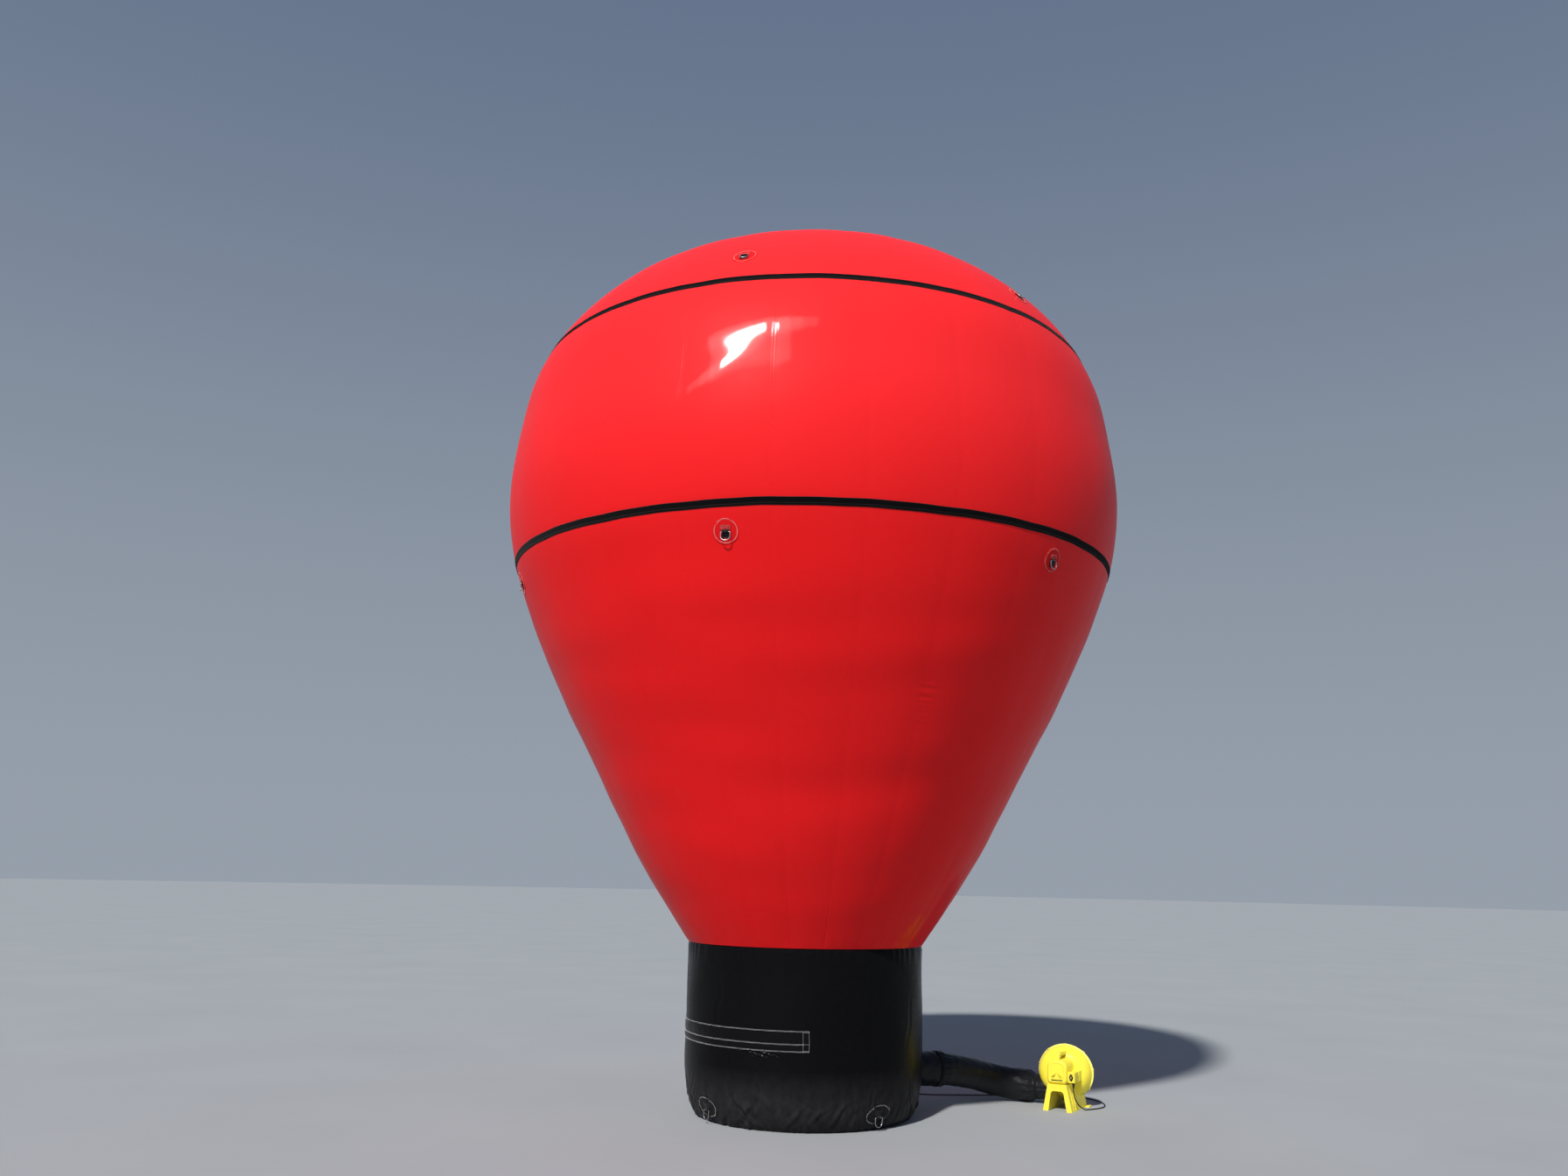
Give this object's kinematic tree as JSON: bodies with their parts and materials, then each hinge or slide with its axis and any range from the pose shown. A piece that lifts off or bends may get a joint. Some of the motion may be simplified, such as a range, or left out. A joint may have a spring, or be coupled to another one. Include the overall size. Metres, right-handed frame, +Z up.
{
  "type": "advertising sky balloon",
  "caption": "Ground-standing cold-air advertising balloon: a red hot-air-balloon envelope with two black banner bands on a black round base, kept full by a yellow blower through a soft duct.",
  "frame": {"origin": "on the balloon's axis, at the flat underside of its base", "axes": "+Z up along the balloon's axis; +X towards the side that the blower stands on; -Y towards the front, which has the end of the deflation zip's flap"},
  "size_m": [4.762, 4.762, 6.5904],
  "materials": {
    "red_pvc": "gloss coated PVC sheet",
    "red_webbing": "PVC patch with stitched webbing",
    "black_pvc": "satin coated PVC sheet",
    "tape": "woven hook-and-loop tape",
    "steel": "plated wire",
    "yellow_plastic": "satin moulded polyethylene",
    "black_plastic": "moulded",
    "motor_steel": "painted",
    "rubber": "matt"
  },
  "bodies": {
    "balloon": {"envelope_cone": "red_pvc", "lower_band": "tape", "envelope_middle": "red_pvc", "upper_band": "tape", "envelope_crown": "red_pvc", "base_wall": "black_pvc", "zip_flap": "black_pvc", "top_patch_1": "red_webbing", "top_d_ring_1": "steel", "top_patch_2": "red_webbing", "top_d_ring_2": "steel", "top_patch_3": "red_webbing", "top_d_ring_3": "steel", "top_patch_4": "red_webbing", "top_d_ring_4": "steel", "top_patch_5": "red_webbing", "top_d_ring_5": "steel", "top_patch_6": "red_webbing", "top_d_ring_6": "steel", "middle_patch_1": "red_webbing", "middle_d_ring_1": "steel", "middle_patch_2": "red_webbing", "middle_d_ring_2": "steel", "middle_patch_3": "red_webbing", "middle_d_ring_3": "steel", "middle_patch_4": "red_webbing", "middle_d_ring_4": "steel", "middle_patch_5": "red_webbing", "middle_d_ring_5": "steel", "middle_patch_6": "red_webbing", "middle_d_ring_6": "steel", "base_patch_1": "black_pvc", "base_d_ring_1": "steel", "base_patch_2": "black_pvc", "base_d_ring_2": "steel", "base_patch_3": "black_pvc", "base_d_ring_3": "steel", "base_patch_4": "black_pvc", "base_d_ring_4": "steel", "inlet_sleeve": "black_pvc", "sleeve_tie": "black_pvc", "air_duct": "black_pvc", "outlet_tie": "black_pvc", "scroll_front": "yellow_plastic", "scroll_rear": "yellow_plastic", "duct_cuff": "black_pvc", "intake_grille": "black_plastic", "motor": "motor_steel", "motor_cover": "yellow_plastic", "carry_handle": "yellow_plastic", "blower_stand": "yellow_plastic", "switch_box": "yellow_plastic", "rocker_switch": "black_plastic", "cable_gland": "rubber", "power_lead": "rubber", "power_lead_coil": "rubber", "power_lead_tail": "rubber", "power_plug": "rubber"},
    "impeller": {"impeller": "black_plastic"}
  },
  "joints": [
    {"name": "impeller_spin", "type": "hinge", "parent": "balloon", "child": "impeller", "pos_m": [2.06, 0.55, 0.25], "axis": [0.4848, 0.8746, 0], "continuous": true}
  ]
}
